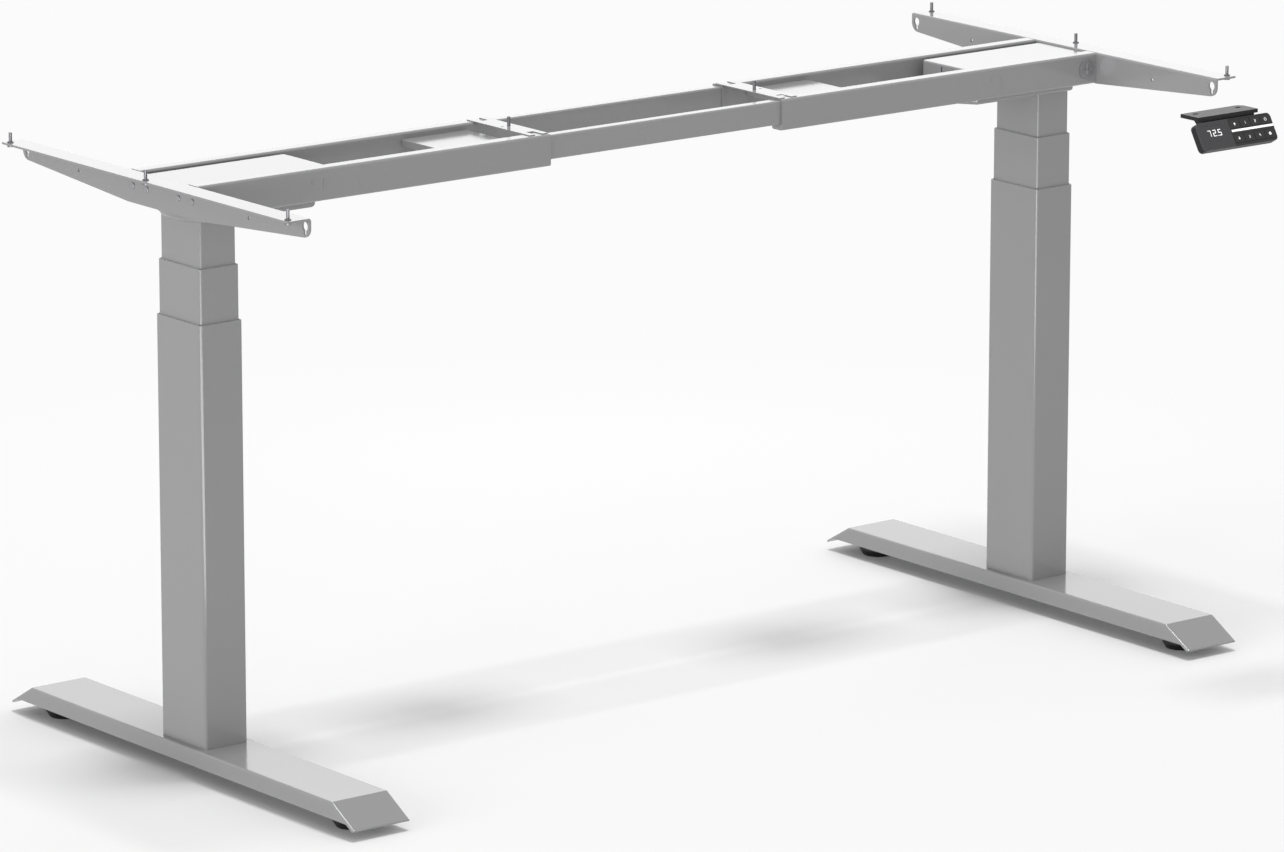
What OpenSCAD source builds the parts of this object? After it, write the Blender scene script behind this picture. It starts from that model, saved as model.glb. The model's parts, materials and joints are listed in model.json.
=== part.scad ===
// Height-adjustable standing desk frame with two three-stage lifting columns.
// Millimetres, +Z up, +X along the beam, -Y towards the person at the desk.
// Origin: on the underside of the desktop, midway between the columns.
// The frame is drawn as photographed: part raised, beam part drawn out.

/* [Columns] */
// Distance between the centres of the two columns
column_spacing = 1271; // [1150:1:1400]
// Width of the outer tube along the beam
outer_tube_x = 60; // [58:1:66]
// Depth of the outer tube across the beam
outer_tube_y = 90; // [86:1:96]
// Difference in width between one tube and the next
tube_step = 5; // [4.6:0.1:5.4]
// Wall of each column tube
tube_wall = 1.5; // [1.3:0.1:1.8]
// Outer corner radius of the outer tube
tube_corner_r = 4; // [3.5:0.5:6]
// Length of the outer tube, standing on the foot
outer_tube_h = 505.5; // [480:0.5:530]
// Length of the middle tube
middle_tube_h = 500; // [480:1:510]
// Length of the inner tube
inner_tube_h = 492.5; // [475:0.5:493.5]
// Gap between the middle tube's bottom and the base plate at the drawn height
base_gap = 65; // [55:1:80]
// Part of the inner tube that shows at the drawn height
inner_show = 54.5; // [48:0.5:70]
// Travel of each lifting stage above the drawn height
stage_rise = 265; // [230:1:268]
// Height of the plastic glide pads
glide_h = 38; // [25:1:50]

/* [Feet] */
// Overall length of a foot, tip to tip
foot_len = 702; // [640:1:760]
// Run of the sloping tip at each end of a foot
foot_tip_run = 42.7; // [36:0.1:45]
// Width of a foot
foot_w = 80; // [76:1:90]
// Height of the foot's top above the floor
foot_top_h = 38; // [36:0.5:44]
// Height of the foot's side walls
foot_side_h = 20; // [17:0.5:22]
// Drop from the flat top to the sloping tips
foot_tip_drop = 24.5; // [22:0.5:27]
// Steel sheet of the foot
foot_sheet = 3; // [2.5:0.1:3.5]
// Diameter of a levelling pad
pad_d = 47; // [40:1:50]
// Height of a levelling pad's disc
pad_h = 12; // [10:0.5:13]
// Distance from a foot's tip to the centre of its pad
pad_inset = 56; // [54:1:100]
// Thread diameter of the pad's stud
pad_stud_d = 8; // [6:1:10]

/* [Beam] */
// Height of the beam's outer rails
rail_h = 38.5; // [36:0.5:42]
// Width of each outer rail
rail_w = 20; // [19.5:0.5:24]
// Clear width between the front and back outer rails
rail_gap = 96; // [94:1:104]
// Wall of the rails
rail_wall = 1.5; // [1.3:0.1:1.8]
// Gap between the left and the right outer rails at the drawn width
rail_split = 352; // [340:1:370]
// Length of the telescoping inner rails
inner_rail_len = 926; // [880:1:950]
// Height of an inner rail
inner_rail_h = 29.5; // [26:0.5:31]
// Width of a bridge plate along the beam
bridge_w = 27; // [22:1:36]
// Thickness of a bridge plate
bridge_t = 1; // [0.8:0.1:1.5]
// Length of a shelf plate along the beam
shelf_len = 96; // [80:1:110]
// Distance from the beam's middle to the nearer end of each shelf plate
shelf_inner_x = 213.4; // [206:0.1:230]
// Depth of the shelf plates below the rail tops
shelf_drop = 8.1; // [5:0.1:9]

/* [Heads] */
// Depth of the head pan below the rail tops
pan_drop = 49; // [47:0.5:54]
// Distance from a column's centre to the inner end of the head cover
cover_reach = 150; // [135:1:155]
// Width of the head cover across the beam
cover_w = 83; // [79:1:86]
// Sheet of the covers and shelf plates
cover_sheet = 1.5; // [1:0.1:2]
// Motor diameter
motor_d = 40; // [36:1:41]
// Motor length
motor_len = 98; // [80:1:100]

/* [Side brackets] */
// Length of a side bracket across the beam
bracket_len = 580; // [560:1:620]
// Width of the bracket's flange
bracket_flange = 31.5; // [28:0.5:36]
// Depth of the bracket's web at the middle
bracket_web_h = 39; // [37:0.5:42]
// Depth of the bracket's web at its ends
bracket_end_h = 23.5; // [23:0.5:28]
// Steel sheet of the bracket
bracket_sheet = 2.5; // [2:0.1:3]
// Distance from a column's centre to the bracket's web
bracket_x = 46; // [44:0.5:50]
// Distance between the end screws that hold the desktop
screw_spacing_y = 562; // [540:1:564]
// Thread diameter of the desktop screws
desktop_screw_d = 4; // [3.5:0.1:5]
// Height of the desktop screws above the brackets
desktop_screw_rise = 12; // [10:0.5:20]
// Thickness of the grommet's collar, which carries the desktop
grommet_rise = 1; // [0.8:0.1:1.5]

/* [Handset] */
// Width of the handset
handset_w = 119.8; // [118:0.1:126]
// Height of the handset's face
handset_h = 35.6; // [34.5:0.1:38]
// Thickness of the handset
handset_t = 12.4; // [11:0.1:16]
// Lean of the handset's face from upright, in degrees
handset_tilt = 30.6; // [25:0.1:36]
// Place of the face's top left corner along the beam
handset_x = 483.7; // [440:0.1:520]
// Place of the face's top edge in front of the beam's middle
handset_y = -469; // [-500:1:-440]
// Key width
key_w = 15.4; // [14:0.1:15.6]
// Key height
key_h = 11; // [9:0.5:11.5]
// Distance between neighbouring keys
key_pitch = 16.6; // [16.5:0.1:16.7]

/* [Hidden] */
// Clearances between pieces that slide or turn, and around screws
slide_clear = 0.3;
glide_clear = 0.2;
seat_gap = 0.02;
screw_clear = 0.3;
// Overrun of every cut past the face that it opens
over = 1;
// Segments of every round edge
$fn = 48;

// Levels, from the desktop's underside down to the floor
frame_z = -grommet_rise;
rail_bottom_z = frame_z - rail_h;
pan_bottom_z = frame_z - pan_drop;
inner_top_z = pan_bottom_z;
inner_bottom_z = inner_top_z - inner_tube_h;
middle_top_z = inner_top_z - inner_show;
middle_bottom_z = middle_top_z - middle_tube_h;
base_plate_t = 6;
foot_top_z = middle_bottom_z - base_gap - base_plate_t;
outer_top_z = foot_top_z + outer_tube_h;
floor_z = foot_top_z - foot_top_h;

// Places along the beam, for the right half
column_x = column_spacing / 2;
web_x = column_x + bracket_x;
rail_end_x = rail_split / 2;
cover_end_x = column_x - cover_reach;

// Column tubes: width, depth and corner radius of each stage
outer_size = [outer_tube_x, outer_tube_y];
middle_size = outer_size - [tube_step, tube_step];
inner_size = middle_size - [tube_step, tube_step];
glide_gap = tube_step / 2 - tube_wall;
glide_t = glide_gap - glide_clear;
middle_corner_r = tube_corner_r - tube_step / 8;
inner_corner_r = middle_corner_r - tube_step / 8;
top_plate_t = 4;
carrier_t = 6;

// Screws under the column: places from the column's axis, thread and head
foot_screw_at = [18, 28];
foot_screw_r = 4;
foot_screw_head_r = 7;
foot_screw_head_h = 5;

// Lifting drive, all on the column's axis: radius of each nested piece
nut_h = 20;
post_r = 6;
post_clear = 1;
post_spare = 10;
post_top_z = middle_bottom_z + stage_rise + nut_h + post_spare;
hollow_screw_r = 15;
hollow_bore_r = 11;
hollow_collar_r = 17;
hollow_collar_h = 4;
hollow_screw_drop = 30;
hollow_screw_top_z = middle_top_z - hollow_screw_drop;
drive_r = 10;
drive_bore_r = 7;
drive_socket = 15;
drive_spare = 50;
drive_bottom_z = hollow_screw_top_z - nut_h - stage_rise - drive_spare;
nut_tube_r = 19;
nut_tube_wall = 2;
nut_tube_spare = 40;
nut_tube_bottom_z = hollow_screw_top_z - nut_h - stage_rise - nut_tube_spare;
cage_r = 21;
cage_cap_h = 5;

// Gearbox: half widths of its flange and body, and its screws
gear_flange = [22, 37];
gear_flange_t = 5;
gear_body = [22, 24];
gear_screw_at = [16, 31];
gear_screw_r = 3;
gear_screw_head_r = 4.5;
gear_screw_head_h = 3;
motor_cap_len = 12;
motor_cap_step = 4;

// Head cover: nearer to the front rail than to the back one
cover_drop = 2.2;
cover_shift = 2.5;
cover_side_h = 34;
cover_corner_r = 6;
cover_slit = 2;
cover_underside_z = frame_z - cover_drop - cover_sheet;

// Head pan: where it narrows towards its ends, from the column's centre, and its flanges
pan_sheet = 1.5;
pan_half_w = rail_gap / 2;
pan_end_half_w = 14.5;
pan_tail_reach = 156.5;
pan_shoulder_reach = [131.5, 25];
pan_nose_reach = 39.5;
pan_lap = 12;
pan_flange_y = rail_gap / 2 + pan_lap;
pan_tail_x = column_x - pan_tail_reach;
pan_shoulder_x = [column_x - pan_shoulder_reach[0], column_x + pan_shoulder_reach[1]];
pan_nose_x = column_x + pan_nose_reach;
motor_z = (pan_bottom_z + pan_sheet + cover_underside_z) / 2;

// Rails
rail_corner_r = 3;
rail_plug = 6;
inner_rail_front_gap = 1.5;
inner_rail_w = rail_w - 2 * rail_wall - slide_clear - inner_rail_front_gap;
inner_rail_top_z = frame_z - rail_wall - slide_clear;
inner_rail_y = rail_gap / 2 + rail_wall + slide_clear;
rail_mark_w = 2.5;
short_mark_h = 6;
long_mark_h = 14;
short_mark_drop = 13.6;
long_mark_drop = 19.5;
rail_mark_proud = 0.5;
short_mark_reach = [114.5, 126];
long_mark_reach = [130.5, 109.5];
rail_guide_t = 3;

// Bridge plates: the plate stops short of the rails, its tabs lie on them
bridge_y = 44;
bridge_tab_w = 8.5;
bridge_lap = 14;
bridge_tab_y = rail_gap / 2 + bridge_lap;
bridge_screw_inset = 11;
bridge_hole_inset = 6.5;
bridge_hole_r = 1.8;

// Shelf plates
shelf_corner_r = 8;
shelf_lip_h = 7;

// Side bracket: flat middle of the web's lower edge and the start of its ends
web_flat_y = 70;
web_corner_r = 12;
web_end_y = bracket_len / 2 - web_corner_r;
web_hole_drop = 18.8;
web_hole_z = frame_z - web_hole_drop;
web_hole_y = 172;
web_hole_r = 2.2;
keyhole_inset = 9;
keyhole_y = bracket_len / 2 - keyhole_inset;
keyhole_drop = 4.9;
keyhole_r = 5.4;
keyhole_slot_w = 5;
keyhole_h = 16.2;

// Screws of the frame
web_screw_y = [32, 60];
web_screw_r = 3;
web_screw_len = 8;
web_screw_head_r = 3.6;
web_screw_head_h = 1.2;
cap_reach = 29.1;
cap_drop = 18.6;
cap_x = column_x + cap_reach;
cap_z = frame_z - cap_drop;
cap_r = 11.8;
cap_t = 1.5;
cap_screw_r = 3;
cap_screw_len = 6;
cap_cross_len = 14;
cap_cross_w = 1.6;
cap_cross_depth = 0.6;
lock_screw_r = 3;
lock_screw_x = [14, 39];

// Desktop screws and their grommets
desktop_screw_inset = 6;
desktop_screw_x = web_x + bracket_flange - desktop_screw_inset;
shoulder_step = 0.2;
shoulder_r = desktop_screw_d / 2 + shoulder_step;
grommet_bore_r = shoulder_r + screw_clear;
grommet_r = 3.1;
grommet_collar_r = 3.8;
flange_hole_r = grommet_r + screw_clear;
desktop_head_r = 3.8;
desktop_head_h = 1.6;

// Foot details
weld_nut_r = 7;
weld_nut_h = 10;
pad_taper = 4.5;
pad_ridge_z = 7.5;
pad_rim = 1.5;
stud_top_gap = 2;

// Handset details, in the face's own plane: x to the right, y up, z out of it
handset_corner_r = 5.5;
handset_top_z = -5.8;
face_t = 2.5;
shell_wall = 1.5;
plate_len = 96.5;
plate_t = 4.6;
plate_inset_x = 7.8;
plate_setback = 3;
plate_front_y = handset_y + plate_setback;
plate_depth = 31.5;
plate_chamfer = 6;
plate_hole_r = 2.2;
plate_hole_len = 8.4;
plate_hole_inset = 14;
plate_hole_back = 20;
plate_hole_y = plate_front_y + plate_hole_back;
gusset_back = 16;
gusset_inset = 6;
window_at = [8, -25];
window_size = [38, 20];
window_t = 1;
window_pocket_t = 0.8;
key_first_x = 59.9;
key_row_y = [-7.8, -26.2];
key_depth = 1.8;
key_clear = 0.15;
key_proud = 0.4;

LIFTING_PARTS = ["foot", "outer_tube", "outer_glides", "foot_screws", "threaded_post",
    "front_pad", "rear_pad", "middle_tube", "middle_glides", "hollow_screw", "inner_tube",
    "drive_tube", "gearbox", "motor", "head_pan", "head_cover", "outer_rails",
    "bridge_plate", "shelf_plate", "side_bracket", "frame_screws", "desktop_screws",
    "grommets"];
KEYS = ["up", "memory_1", "memory_2", "menu", "down", "memory_3", "memory_4", "lock"];
SIDES = ["left", "right"];

// Colours as photographed
coat = [0.72, 0.72, 0.73];
steel = [0.62, 0.63, 0.65];
black = [0.08, 0.08, 0.09];
plastic = [0.9, 0.9, 0.88];

// Mirrors the right half's drawing to the left half
module on_side(side) {
    mirror([side == "left" ? 1 : 0, 0, 0]) children();
}

// Places a drawing on its column's axis
module at_column(side) {
    on_side(side) translate([column_x, 0, 0]) children();
}

// Extrudes a front view (x, z) along Y, and a side view (y, z) along X
module along_y(start, length) {
    translate([0, start + length, 0]) rotate([90, 0, 0]) linear_extrude(length) children();
}
module along_x(start, length) {
    translate([start, 0, 0]) rotate([90, 0, 90]) linear_extrude(length) children();
}

// Both ends of Y, for what repeats in front and at the back
module front_and_back() {
    for (end = [0, 1]) mirror([0, end, 0]) children();
}

module rounded(size, r) {
    square([size[0], size[1] - 2 * r], center = true);
    square([size[0] - 2 * r, size[1]], center = true);
    for (x = [-1, 1], y = [-1, 1])
        translate([x * (size[0] / 2 - r), y * (size[1] / 2 - r)]) circle(r);
}

module tube_section(size, r, wall) {
    difference() {
        rounded(size, r);
        rounded(size - [2 * wall, 2 * wall], r - wall / 2);
    }
}

module ring(r, bore, bottom, top) {
    translate([0, 0, bottom]) difference() {
        cylinder(r = r, h = top - bottom);
        translate([0, 0, -over]) cylinder(r = bore, h = top - bottom + 2 * over);
    }
}

module rod(r, bottom, top) {
    translate([0, 0, bottom]) cylinder(r = r, h = top - bottom);
}

module at_corners(place) {
    for (x = [-1, 1], y = [-1, 1]) translate([x * place[0], y * place[1], 0]) children();
}

// Foot: an inverted channel, its top bent down at both ends over the side walls
foot_flat_len = foot_len - 2 * foot_tip_run;
pad_spacing = foot_len - 2 * pad_inset;
slope = atan(foot_tip_drop / foot_tip_run);
foot_lip = [foot_sheet * sin(slope), foot_sheet * cos(slope)];
foot_inner_flat = foot_flat_len / 2 - foot_sheet * tan(slope / 2);
foot_cut_run = foot_side_h + foot_sheet;

module foot_profile() {
    tip = foot_len / 2;
    side_run = (foot_side_h - foot_sheet) / tan(slope);
    polygon([
        [-tip, -foot_tip_drop], [-foot_flat_len / 2, 0], [foot_flat_len / 2, 0],
        [tip, -foot_tip_drop], [tip - foot_lip[0], -foot_tip_drop - foot_lip[1]],
        [foot_inner_flat + side_run, -foot_side_h], [-foot_inner_flat - side_run, -foot_side_h],
        [-tip + foot_lip[0], -foot_tip_drop - foot_lip[1]]]);
}

module foot_hollow_profile() {
    cut_run = foot_cut_run / tan(slope);
    polygon([
        [-foot_inner_flat - cut_run, -foot_sheet - foot_cut_run], [-foot_inner_flat, -foot_sheet],
        [foot_inner_flat, -foot_sheet], [foot_inner_flat + cut_run, -foot_sheet - foot_cut_run]]);
}

module foot(side) {
    color(coat) at_column(side) translate([0, 0, foot_top_z]) {
        difference() {
            along_x(-foot_w / 2, foot_w) foot_profile();
            along_x(-foot_w / 2 + foot_sheet, foot_w - 2 * foot_sheet) foot_hollow_profile();
            at_corners(foot_screw_at)
                translate([0, 0, -foot_sheet - over])
                    cylinder(r = foot_screw_r + screw_clear, h = foot_sheet + 2 * over);
        }
        front_and_back() translate([0, pad_spacing / 2, 0])
            ring(weld_nut_r, pad_stud_d / 2 + screw_clear, -foot_sheet - weld_nut_h, -foot_sheet);
    }
}

module foot_screws(side) {
    color(steel) at_column(side) at_corners(foot_screw_at) {
        rod(foot_screw_r, foot_top_z - foot_sheet, foot_top_z + base_plate_t);
        rod(foot_screw_head_r, foot_top_z - foot_sheet - foot_screw_head_h,
            foot_top_z - foot_sheet);
    }
}

// Levelling pad: a tapered disc with a ridge and a rim, moulded on its stud
module pad(side, end) {
    stud_top = foot_top_z - foot_sheet - stud_top_gap;
    color(black) at_column(side) translate([0, end * pad_spacing / 2, 0]) {
        translate([0, 0, floor_z]) rotate_extrude() polygon([
            [0, 0], [pad_d / 2 - pad_taper, 0], [pad_d / 2, pad_ridge_z], [pad_d / 2, pad_h - pad_rim],
            [pad_d / 2 - pad_rim, pad_h], [0, pad_h]]);
        rod(pad_stud_d / 2, floor_z + pad_h - over, stud_top);
    }
}

// Outer tube with the base plate welded in its bottom
module outer_tube(side) {
    color(coat) at_column(side) translate([0, 0, foot_top_z]) {
        linear_extrude(outer_tube_h) tube_section(outer_size, tube_corner_r, tube_wall);
        difference() {
            linear_extrude(base_plate_t) rounded(outer_size - [tube_wall, tube_wall],
                tube_corner_r - tube_wall / 2);
            at_corners(foot_screw_at) translate([0, 0, -over])
                cylinder(r = foot_screw_r + screw_clear, h = base_plate_t + 2 * over);
        }
    }
}

// Four flat pads, one on each inner face of a tube of this outer size
module inner_pads(size, r, top) {
    bore = size - [2 * tube_wall, 2 * tube_wall];
    translate([0, 0, top - glide_h]) for (face = [-1, 1]) {
        translate([face * (bore[0] - glide_t) / 2 - glide_t / 2, r - bore[1] / 2, 0])
            cube([glide_t, bore[1] - 2 * r, glide_h]);
        translate([r - bore[0] / 2, face * (bore[1] - glide_t) / 2 - glide_t / 2, 0])
            cube([bore[0] - 2 * r, glide_t, glide_h]);
    }
}

// Four flat pads, one on each outer face of a tube of this outer size
module outer_pads(size, r, bottom) {
    translate([0, 0, bottom]) for (face = [-1, 1]) {
        translate([face * (size[0] + glide_t) / 2 - glide_t / 2, r - size[1] / 2, 0])
            cube([glide_t, size[1] - 2 * r, glide_h]);
        translate([r - size[0] / 2, face * (size[1] + glide_t) / 2 - glide_t / 2, 0])
            cube([size[0] - 2 * r, glide_t, glide_h]);
    }
}

module outer_glides(side) {
    color(plastic) at_column(side) inner_pads(outer_size, tube_corner_r, outer_top_z);
}

module middle_glides(side) {
    color(plastic) at_column(side) {
        inner_pads(middle_size, middle_corner_r, middle_top_z);
        outer_pads(middle_size, middle_corner_r, middle_bottom_z);
    }
}

// Middle tube with the plate and cage that carry the hollow screw
module middle_tube(side) {
    plate_top = middle_bottom_z + carrier_t;
    collar_top = plate_top + hollow_collar_h + 2 * slide_clear;
    color(coat) at_column(side) {
        translate([0, 0, middle_bottom_z]) linear_extrude(middle_tube_h)
            tube_section(middle_size, middle_corner_r, tube_wall);
        difference() {
            union() {
                translate([0, 0, middle_bottom_z]) linear_extrude(carrier_t)
                    rounded(middle_size - [tube_wall, tube_wall], middle_corner_r - tube_wall / 2);
                rod(cage_r, plate_top, collar_top + cage_cap_h);
            }
            rod(post_r + post_clear, middle_bottom_z - over, plate_top + over);
            rod(hollow_collar_r + slide_clear, plate_top, collar_top);
            rod(hollow_screw_r + slide_clear, collar_top - over, collar_top + cage_cap_h + over);
        }
    }
}

// Inner tube with the plate that is screwed to the gearbox
module inner_tube(side) {
    color(coat) at_column(side) {
        translate([0, 0, inner_bottom_z]) linear_extrude(inner_tube_h)
            tube_section(inner_size, inner_corner_r, tube_wall);
        translate([0, 0, inner_top_z - top_plate_t]) difference() {
            linear_extrude(top_plate_t)
                rounded(inner_size - [tube_wall, tube_wall], inner_corner_r - tube_wall / 2);
            translate([0, 0, -over])
                cylinder(r = nut_tube_r + screw_clear, h = top_plate_t + 2 * over);
            at_corners(gear_screw_at) translate([0, 0, -over])
                cylinder(r = gear_screw_r + screw_clear, h = top_plate_t + 2 * over);
        }
    }
}

// Threaded post on the base plate, drawn at its thread's outer size
module threaded_post(side) {
    color(steel) at_column(side) rod(post_r, foot_top_z + base_plate_t, post_top_z);
}

// Hollow screw: nut at its bottom end for the post, sliding key at its top end
module hollow_screw(side) {
    bottom = middle_bottom_z + carrier_t + slide_clear;
    color(steel) at_column(side) difference() {
        union() {
            rod(hollow_screw_r, bottom, hollow_screw_top_z);
            rod(hollow_collar_r, bottom, bottom + hollow_collar_h);
        }
        rod(post_r + slide_clear, bottom - over, bottom + nut_h + over);
        rod(hollow_bore_r, bottom + nut_h, hollow_screw_top_z - nut_h);
        rod(drive_r + slide_clear, hollow_screw_top_z - nut_h - over, hollow_screw_top_z + over);
    }
}

// Drive tube: turned by the gearbox, it slides in the hollow screw's key
module drive_tube(side) {
    top = pan_bottom_z + pan_sheet + drive_socket - slide_clear;
    color(steel) at_column(side) ring(drive_r, drive_bore_r, drive_bottom_z, top);
}

// Gearbox with its flange and the long tube that carries the upper nut
module gearbox(side) {
    bottom = pan_bottom_z + pan_sheet;
    color([0.3, 0.3, 0.32]) at_column(side) {
        difference() {
            union() {
                translate([-gear_flange[0], -gear_flange[1], bottom])
                    cube([2 * gear_flange[0], 2 * gear_flange[1], gear_flange_t]);
                translate([-gear_body[0], -gear_body[1], bottom])
                    cube([2 * gear_body[0], 2 * gear_body[1], cover_underside_z - bottom]);
            }
            rod(drive_r + slide_clear, bottom - over, bottom + drive_socket);
            at_corners(gear_screw_at)
                rod(gear_screw_r + screw_clear, bottom - over, bottom + gear_flange_t + over);
        }
        ring(nut_tube_r, nut_tube_r - nut_tube_wall, nut_tube_bottom_z, bottom);
        ring(nut_tube_r, hollow_screw_r + slide_clear, nut_tube_bottom_z,
            nut_tube_bottom_z + nut_h);
    }
}

module motor(side) {
    color(black) at_column(side) translate([-gear_body[0], 0, motor_z]) rotate([0, -90, 0]) {
        cylinder(d = motor_d, h = motor_len - motor_cap_len);
        cylinder(r = motor_d / 2 - motor_cap_step, h = motor_len);
    }
}

// Head pan: a tray with narrowed ends, hung by its flanges under the rails
module pan_outline(inset) {
    rise = pan_half_w - pan_end_half_w;
    tail_angle = atan(rise / (pan_shoulder_x[0] - pan_tail_x));
    nose_angle = atan(rise / (pan_nose_x - pan_shoulder_x[1]));
    side = [
        [pan_tail_x + inset, pan_end_half_w - inset * tan((90 - tail_angle) / 2)],
        [pan_shoulder_x[0] + inset * tan(tail_angle / 2), pan_half_w - inset],
        [pan_shoulder_x[1] - inset * tan(nose_angle / 2), pan_half_w - inset],
        [pan_nose_x - inset, pan_end_half_w - inset * tan((90 - nose_angle) / 2)]];
    polygon(concat(side, [for (i = [3, 2, 1, 0]) [side[i][0], -side[i][1]]]));
}

module head_pan(side) {
    color(coat) on_side(side) {
        difference() {
            translate([0, 0, pan_bottom_z]) linear_extrude(rail_bottom_z - pan_bottom_z)
                pan_outline(0);
            translate([0, 0, pan_bottom_z + pan_sheet])
                linear_extrude(rail_bottom_z - pan_bottom_z) pan_outline(pan_sheet);
            translate([column_x, 0, 0]) {
                rod(nut_tube_r + screw_clear, pan_bottom_z - over, pan_bottom_z + pan_sheet + over);
                at_corners(gear_screw_at) rod(gear_screw_r + screw_clear, pan_bottom_z - over,
                    pan_bottom_z + pan_sheet + over);
            }
        }
        front_and_back()
            translate([pan_shoulder_x[0], pan_half_w - pan_sheet, rail_bottom_z - pan_sheet])
                cube([pan_shoulder_x[1] - pan_shoulder_x[0], pan_flange_y - pan_half_w + pan_sheet,
                    pan_sheet]);
    }
}

// Head cover: a shallow tray turned over between the rails, its inner end slit
module cover_outline(inset) {
    half = cover_w / 2 - inset;
    start = cover_end_x + inset;
    end = web_x - inset;
    r = cover_corner_r - inset;
    translate([start + r, -half]) square([end - start - r, 2 * half]);
    translate([start, -half + r]) square([r, 2 * (half - r)]);
    for (y = [-1, 1]) translate([start + r, y * (half - r)]) circle(r);
}

module head_cover(side) {
    top = frame_z - cover_drop;
    color(coat) on_side(side) difference() {
        translate([0, -cover_shift, top - cover_side_h]) linear_extrude(cover_side_h)
            cover_outline(0);
        translate([0, -cover_shift, top - cover_side_h - over])
            linear_extrude(cover_side_h - cover_sheet + over) cover_outline(cover_sheet);
        translate([cover_end_x - over, -cover_slit / 2, top - cover_side_h - over])
            cube([cover_sheet + 2 * over, cover_slit, cover_side_h - 2 * cover_sheet + over]);
        for (y = [-1, 1]) translate([web_x - cover_sheet - over, y * web_screw_y[0], web_hole_z])
            rotate([0, 90, 0])
                cylinder(r = web_screw_r + screw_clear, h = cover_sheet + 2 * over);
    }
}

// Outer rails: square tubes with a plug at the bracket for its screws and, at the inner
// end, a guide around the inner rail
module rail_section(inset) {
    translate([rail_gap / 2 + rail_w / 2, frame_z - rail_h / 2])
        rounded([rail_w - 2 * inset, rail_h - 2 * inset], rail_corner_r - inset / 2);
}

module outer_rails(side) {
    half = side == "left" ? 0 : 1;
    color(coat) on_side(side) {
        front_and_back() difference() {
            union() {
                along_x(rail_end_x, web_x - rail_end_x) difference() {
                    rail_section(0);
                    rail_section(rail_wall);
                }
                along_x(web_x - rail_plug, rail_plug) rail_section(rail_wall / 2);
                along_x(rail_end_x, rail_guide_t) difference() {
                    rail_section(rail_wall / 2);
                    at_inner_rail() rounded([inner_rail_w + 2 * slide_clear,
                        inner_rail_h + 2 * slide_clear], rail_corner_r - rail_wall / 2);
                }
            }
            translate([web_x - rail_plug - over, web_screw_y[1], web_hole_z]) rotate([0, 90, 0])
                cylinder(r = web_screw_r + screw_clear, h = rail_plug + 2 * over);
            translate([cap_x, rail_gap / 2 + rail_w - rail_wall - over, cap_z]) rotate([-90, 0, 0])
                cylinder(r = cap_screw_r + screw_clear, h = rail_wall + 2 * over);
            for (x = lock_screw_x)
                translate([rail_end_x + x, rail_gap / 2 + rail_w / 2, rail_bottom_z - over])
                    cylinder(r = lock_screw_r + screw_clear, h = rail_wall + 2 * over);
        }
        rail_mark(column_x - short_mark_reach[half], frame_z - short_mark_drop, short_mark_h);
        rail_mark(column_x - long_mark_reach[half], frame_z - long_mark_drop, long_mark_h);
    }
}

// Upright rib pressed out of a front rail's front wall
module rail_mark(x, z, height) {
    translate([x - rail_mark_w / 2, -rail_gap / 2 - rail_w - rail_mark_proud, z - height / 2])
        cube([rail_mark_w, rail_mark_proud + rail_wall / 2, height]);
}

module at_inner_rail() {
    translate([inner_rail_y + inner_rail_w / 2, inner_rail_top_z - inner_rail_h / 2]) children();
}

// Inner rails: one in front and one at the back, through both pairs of outer rails
module inner_rails() {
    color(coat) front_and_back() along_x(-inner_rail_len / 2, inner_rail_len) at_inner_rail()
        tube_section([inner_rail_w, inner_rail_h], rail_corner_r - rail_wall / 2, rail_wall);
}

module bridge_plate(side) {
    color(coat) on_side(side) translate([0, 0, frame_z]) difference() {
        union() {
            translate([rail_end_x, -bridge_y, 0]) cube([bridge_w, 2 * bridge_y, bridge_t]);
            for (x = [rail_end_x, rail_end_x + bridge_w - bridge_tab_w])
                translate([x, -bridge_tab_y, 0]) cube([bridge_tab_w, 2 * bridge_tab_y, bridge_t]);
        }
        translate([rail_end_x + bridge_screw_inset, 0, -over])
            cylinder(r = desktop_screw_d / 2 + screw_clear, h = bridge_t + 2 * over);
        translate([rail_end_x + bridge_w - bridge_hole_inset, 0, -over])
            cylinder(r = bridge_hole_r, h = bridge_t + 2 * over);
    }
}

// Shelf plate: the same piece in both halves, its lip towards the left
module shelf_plate(side) {
    start = side == "left" ? -shelf_inner_x - shelf_len : shelf_inner_x;
    depth = rail_gap / 2;
    r = shelf_corner_r;
    color(coat) translate([start, 0, frame_z - shelf_drop - cover_sheet]) {
        linear_extrude(cover_sheet) {
            translate([0, -depth]) square([shelf_len - r, 2 * depth]);
            translate([0, r - depth]) square([shelf_len, 2 * (depth - r)]);
            for (y = [-1, 1]) translate([shelf_len - r, y * (depth - r)]) circle(r);
        }
        translate([0, -depth, -shelf_lip_h]) cube([cover_sheet, 2 * depth, shelf_lip_h + cover_sheet]);
    }
}

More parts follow.
